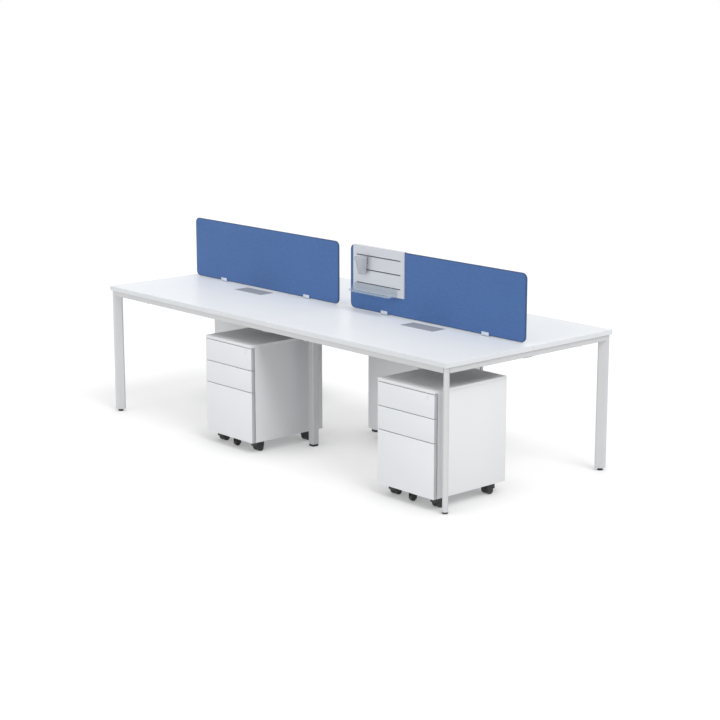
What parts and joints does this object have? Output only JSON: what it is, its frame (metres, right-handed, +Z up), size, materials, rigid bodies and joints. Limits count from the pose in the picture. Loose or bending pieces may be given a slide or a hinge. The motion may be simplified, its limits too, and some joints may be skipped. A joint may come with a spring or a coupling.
{
  "type": "office bench desk",
  "caption": "Bench desk with back-to-back tops, fabric screens, hinged cable flaps, a slotted tool board with hanging cup and tray, and mobile drawer pedestals on casters",
  "frame": {"origin": "on the floor under the middle of the desk", "axes": "+X along the long side to the right of a person in front, +Y from the front side to the rear side, +Z up"},
  "size_m": [2.8, 1.2036, 1.1083],
  "materials": {
    "white_laminate": "satin",
    "silver_frame": "satin",
    "blue_fabric": "matte",
    "grey_plastic": "satin",
    "pale_plastic": "satin",
    "board_metal": "satin",
    "cup_plastic": "gloss",
    "clear_acrylic": "gloss",
    "black_plastic": "satin",
    "bright_steel": "brushed"
  },
  "bodies": {
    "desk": {"corner_legs": "silver_frame", "middle_legs": "silver_frame", "side_rails": "silver_frame", "end_rails": "silver_frame", "cross_beam": "silver_frame", "centre_beams": "silver_frame", "levelling_feet": "black_plastic", "top_screws": "bright_steel", "flap_frames": "grey_plastic", "flap_pins": "bright_steel", "left_screen": "blue_fabric", "right_screen": "blue_fabric", "screen_clips": "pale_plastic", "top_front_left": "white_laminate", "top_front_right": "white_laminate", "top_rear_left": "white_laminate", "top_rear_right": "white_laminate"},
    "tool_board": {"tool_board": "board_metal"},
    "pen_cup": {"pen_cup": "cup_plastic"},
    "letter_tray": {"letter_tray": "clear_acrylic"},
    "flap_front_left": {"flap_front_left": "grey_plastic"},
    "front_left_pedestal": {"front_left_pedestal_case": "white_laminate"},
    "front_left_pedestal_drawer_top": {"front_left_pedestal_drawer_top": "white_laminate"},
    "front_left_pedestal_drawer_middle": {"front_left_pedestal_drawer_middle": "white_laminate"},
    "front_left_pedestal_drawer_file": {"front_left_pedestal_drawer_file": "white_laminate"},
    "front_left_pedestal_lock": {"front_left_pedestal_lock": "bright_steel"},
    "front_left_pedestal_caster_near_left": {"front_left_pedestal_caster_near_left": "black_plastic"},
    "front_left_pedestal_caster_near_right": {"front_left_pedestal_caster_near_right": "black_plastic"},
    "front_left_pedestal_caster_far_left": {"front_left_pedestal_caster_far_left": "black_plastic"},
    "front_left_pedestal_caster_far_right": {"front_left_pedestal_caster_far_right": "black_plastic"},
    "flap_front_right": {"flap_front_right": "grey_plastic"},
    "front_right_pedestal": {"front_right_pedestal_case": "white_laminate"},
    "front_right_pedestal_drawer_top": {"front_right_pedestal_drawer_top": "white_laminate"},
    "front_right_pedestal_drawer_middle": {"front_right_pedestal_drawer_middle": "white_laminate"},
    "front_right_pedestal_drawer_file": {"front_right_pedestal_drawer_file": "white_laminate"},
    "front_right_pedestal_lock": {"front_right_pedestal_lock": "bright_steel"},
    "front_right_pedestal_caster_near_left": {"front_right_pedestal_caster_near_left": "black_plastic"},
    "front_right_pedestal_caster_near_right": {"front_right_pedestal_caster_near_right": "black_plastic"},
    "front_right_pedestal_caster_far_left": {"front_right_pedestal_caster_far_left": "black_plastic"},
    "front_right_pedestal_caster_far_right": {"front_right_pedestal_caster_far_right": "black_plastic"},
    "flap_rear_right": {"flap_rear_right": "grey_plastic"},
    "rear_right_pedestal": {"rear_right_pedestal_case": "white_laminate"},
    "rear_right_pedestal_drawer_top": {"rear_right_pedestal_drawer_top": "white_laminate"},
    "rear_right_pedestal_drawer_middle": {"rear_right_pedestal_drawer_middle": "white_laminate"},
    "rear_right_pedestal_drawer_file": {"rear_right_pedestal_drawer_file": "white_laminate"},
    "rear_right_pedestal_lock": {"rear_right_pedestal_lock": "bright_steel"},
    "rear_right_pedestal_caster_near_left": {"rear_right_pedestal_caster_near_left": "black_plastic"},
    "rear_right_pedestal_caster_near_right": {"rear_right_pedestal_caster_near_right": "black_plastic"},
    "rear_right_pedestal_caster_far_left": {"rear_right_pedestal_caster_far_left": "black_plastic"},
    "rear_right_pedestal_caster_far_right": {"rear_right_pedestal_caster_far_right": "black_plastic"},
    "flap_rear_left": {"flap_rear_left": "grey_plastic"},
    "rear_left_pedestal": {"rear_left_pedestal_case": "white_laminate"},
    "rear_left_pedestal_drawer_top": {"rear_left_pedestal_drawer_top": "white_laminate"},
    "rear_left_pedestal_drawer_middle": {"rear_left_pedestal_drawer_middle": "white_laminate"},
    "rear_left_pedestal_drawer_file": {"rear_left_pedestal_drawer_file": "white_laminate"},
    "rear_left_pedestal_lock": {"rear_left_pedestal_lock": "bright_steel"},
    "rear_left_pedestal_caster_near_left": {"rear_left_pedestal_caster_near_left": "black_plastic"},
    "rear_left_pedestal_caster_near_right": {"rear_left_pedestal_caster_near_right": "black_plastic"},
    "rear_left_pedestal_caster_far_left": {"rear_left_pedestal_caster_far_left": "black_plastic"},
    "rear_left_pedestal_caster_far_right": {"rear_left_pedestal_caster_far_right": "black_plastic"}
  },
  "joints": [
    {"name": "tool_board_lift", "type": "slide", "parent": "desk", "child": "tool_board", "axis": [0, 0, 1], "range_m": [0, 0.28]},
    {"name": "pen_cup_unhook", "type": "slide", "parent": "tool_board", "child": "pen_cup", "axis": [0, -0.9397, 0.342], "range_m": [0, 0.12]},
    {"name": "letter_tray_unhook", "type": "slide", "parent": "tool_board", "child": "letter_tray", "axis": [0, -0.9397, 0.342], "range_m": [0, 0.12]},
    {"name": "flap_front_left_hinge", "type": "hinge", "parent": "desk", "child": "flap_front_left", "pos_m": [-0.7, -0.0465, 0.7492], "axis": [-1, 0, 0], "range_deg": [0, 95]},
    {"name": "front_left_pedestal_roll", "type": "slide", "parent": "desk", "child": "front_left_pedestal", "axis": [0, -1, 0], "range_m": [0, 0.6]},
    {"name": "front_left_pedestal_drawer_top_slide", "type": "slide", "parent": "front_left_pedestal", "child": "front_left_pedestal_drawer_top", "axis": [0, -1, 0], "range_m": [0, 0.36]},
    {"name": "front_left_pedestal_drawer_middle_slide", "type": "slide", "parent": "front_left_pedestal", "child": "front_left_pedestal_drawer_middle", "axis": [0, -1, 0], "range_m": [0, 0.36]},
    {"name": "front_left_pedestal_drawer_file_slide", "type": "slide", "parent": "front_left_pedestal", "child": "front_left_pedestal_drawer_file", "axis": [0, -1, 0], "range_m": [0, 0.4]},
    {"name": "front_left_pedestal_lock_turn", "type": "hinge", "parent": "front_left_pedestal_drawer_top", "child": "front_left_pedestal_lock", "pos_m": [-0.125, -0.6, 0.562], "axis": [0, 1, 0], "range_deg": [0, 90]},
    {"name": "front_left_pedestal_caster_near_left_swivel", "type": "hinge", "parent": "front_left_pedestal", "child": "front_left_pedestal_caster_near_left", "pos_m": [-0.43, -0.535, 0.06], "axis": [0, 0, 1], "continuous": true},
    {"name": "front_left_pedestal_caster_near_right_swivel", "type": "hinge", "parent": "front_left_pedestal", "child": "front_left_pedestal_caster_near_right", "pos_m": [-0.13, -0.535, 0.06], "axis": [0, 0, 1], "continuous": true},
    {"name": "front_left_pedestal_caster_far_left_swivel", "type": "hinge", "parent": "front_left_pedestal", "child": "front_left_pedestal_caster_far_left", "pos_m": [-0.43, -0.16, 0.06], "axis": [0, 0, 1], "continuous": true},
    {"name": "front_left_pedestal_caster_far_right_swivel", "type": "hinge", "parent": "front_left_pedestal", "child": "front_left_pedestal_caster_far_right", "pos_m": [-0.13, -0.16, 0.06], "axis": [0, 0, 1], "continuous": true},
    {"name": "flap_front_right_hinge", "type": "hinge", "parent": "desk", "child": "flap_front_right", "pos_m": [0.7, -0.0465, 0.7492], "axis": [-1, 0, 0], "range_deg": [0, 95]},
    {"name": "front_right_pedestal_roll", "type": "slide", "parent": "desk", "child": "front_right_pedestal", "axis": [0, -1, 0], "range_m": [0, 0.6]},
    {"name": "front_right_pedestal_drawer_top_slide", "type": "slide", "parent": "front_right_pedestal", "child": "front_right_pedestal_drawer_top", "axis": [0, -1, 0], "range_m": [0, 0.36]},
    {"name": "front_right_pedestal_drawer_middle_slide", "type": "slide", "parent": "front_right_pedestal", "child": "front_right_pedestal_drawer_middle", "axis": [0, -1, 0], "range_m": [0, 0.36]},
    {"name": "front_right_pedestal_drawer_file_slide", "type": "slide", "parent": "front_right_pedestal", "child": "front_right_pedestal_drawer_file", "axis": [0, -1, 0], "range_m": [0, 0.4]},
    {"name": "front_right_pedestal_lock_turn", "type": "hinge", "parent": "front_right_pedestal_drawer_top", "child": "front_right_pedestal_lock", "pos_m": [1.275, -0.6, 0.562], "axis": [0, 1, 0], "range_deg": [0, 90]},
    {"name": "front_right_pedestal_caster_near_left_swivel", "type": "hinge", "parent": "front_right_pedestal", "child": "front_right_pedestal_caster_near_left", "pos_m": [0.97, -0.535, 0.06], "axis": [0, 0, 1], "continuous": true},
    {"name": "front_right_pedestal_caster_near_right_swivel", "type": "hinge", "parent": "front_right_pedestal", "child": "front_right_pedestal_caster_near_right", "pos_m": [1.27, -0.535, 0.06], "axis": [0, 0, 1], "continuous": true},
    {"name": "front_right_pedestal_caster_far_left_swivel", "type": "hinge", "parent": "front_right_pedestal", "child": "front_right_pedestal_caster_far_left", "pos_m": [0.97, -0.16, 0.06], "axis": [0, 0, 1], "continuous": true},
    {"name": "front_right_pedestal_caster_far_right_swivel", "type": "hinge", "parent": "front_right_pedestal", "child": "front_right_pedestal_caster_far_right", "pos_m": [1.27, -0.16, 0.06], "axis": [0, 0, 1], "continuous": true},
    {"name": "flap_rear_right_hinge", "type": "hinge", "parent": "desk", "child": "flap_rear_right", "pos_m": [0.7, 0.0465, 0.7492], "axis": [1, 0, 0], "range_deg": [0, 95]},
    {"name": "rear_right_pedestal_roll", "type": "slide", "parent": "desk", "child": "rear_right_pedestal", "axis": [0, 1, 0], "range_m": [0, 0.6]},
    {"name": "rear_right_pedestal_drawer_top_slide", "type": "slide", "parent": "rear_right_pedestal", "child": "rear_right_pedestal_drawer_top", "axis": [0, 1, 0], "range_m": [0, 0.36]},
    {"name": "rear_right_pedestal_drawer_middle_slide", "type": "slide", "parent": "rear_right_pedestal", "child": "rear_right_pedestal_drawer_middle", "axis": [0, 1, 0], "range_m": [0, 0.36]},
    {"name": "rear_right_pedestal_drawer_file_slide", "type": "slide", "parent": "rear_right_pedestal", "child": "rear_right_pedestal_drawer_file", "axis": [0, 1, 0], "range_m": [0, 0.4]},
    {"name": "rear_right_pedestal_lock_turn", "type": "hinge", "parent": "rear_right_pedestal_drawer_top", "child": "rear_right_pedestal_lock", "pos_m": [0.125, 0.6, 0.562], "axis": [0, -1, 0], "range_deg": [0, 90]},
    {"name": "rear_right_pedestal_caster_near_left_swivel", "type": "hinge", "parent": "rear_right_pedestal", "child": "rear_right_pedestal_caster_near_left", "pos_m": [0.43, 0.535, 0.06], "axis": [0, 0, 1], "continuous": true},
    {"name": "rear_right_pedestal_caster_near_right_swivel", "type": "hinge", "parent": "rear_right_pedestal", "child": "rear_right_pedestal_caster_near_right", "pos_m": [0.13, 0.535, 0.06], "axis": [0, 0, 1], "continuous": true},
    {"name": "rear_right_pedestal_caster_far_left_swivel", "type": "hinge", "parent": "rear_right_pedestal", "child": "rear_right_pedestal_caster_far_left", "pos_m": [0.43, 0.16, 0.06], "axis": [0, 0, 1], "continuous": true},
    {"name": "rear_right_pedestal_caster_far_right_swivel", "type": "hinge", "parent": "rear_right_pedestal", "child": "rear_right_pedestal_caster_far_right", "pos_m": [0.13, 0.16, 0.06], "axis": [0, 0, 1], "continuous": true},
    {"name": "flap_rear_left_hinge", "type": "hinge", "parent": "desk", "child": "flap_rear_left", "pos_m": [-0.7, 0.0465, 0.7492], "axis": [1, 0, 0], "range_deg": [0, 95]},
    {"name": "rear_left_pedestal_roll", "type": "slide", "parent": "desk", "child": "rear_left_pedestal", "axis": [0, 1, 0], "range_m": [0, 0.6]},
    {"name": "rear_left_pedestal_drawer_top_slide", "type": "slide", "parent": "rear_left_pedestal", "child": "rear_left_pedestal_drawer_top", "axis": [0, 1, 0], "range_m": [0, 0.36]},
    {"name": "rear_left_pedestal_drawer_middle_slide", "type": "slide", "parent": "rear_left_pedestal", "child": "rear_left_pedestal_drawer_middle", "axis": [0, 1, 0], "range_m": [0, 0.36]},
    {"name": "rear_left_pedestal_drawer_file_slide", "type": "slide", "parent": "rear_left_pedestal", "child": "rear_left_pedestal_drawer_file", "axis": [0, 1, 0], "range_m": [0, 0.4]},
    {"name": "rear_left_pedestal_lock_turn", "type": "hinge", "parent": "rear_left_pedestal_drawer_top", "child": "rear_left_pedestal_lock", "pos_m": [-1.275, 0.6, 0.562], "axis": [0, -1, 0], "range_deg": [0, 90]},
    {"name": "rear_left_pedestal_caster_near_left_swivel", "type": "hinge", "parent": "rear_left_pedestal", "child": "rear_left_pedestal_caster_near_left", "pos_m": [-0.97, 0.535, 0.06], "axis": [0, 0, 1], "continuous": true},
    {"name": "rear_left_pedestal_caster_near_right_swivel", "type": "hinge", "parent": "rear_left_pedestal", "child": "rear_left_pedestal_caster_near_right", "pos_m": [-1.27, 0.535, 0.06], "axis": [0, 0, 1], "continuous": true},
    {"name": "rear_left_pedestal_caster_far_left_swivel", "type": "hinge", "parent": "rear_left_pedestal", "child": "rear_left_pedestal_caster_far_left", "pos_m": [-0.97, 0.16, 0.06], "axis": [0, 0, 1], "continuous": true},
    {"name": "rear_left_pedestal_caster_far_right_swivel", "type": "hinge", "parent": "rear_left_pedestal", "child": "rear_left_pedestal_caster_far_right", "pos_m": [-1.27, 0.16, 0.06], "axis": [0, 0, 1], "continuous": true}
  ]
}
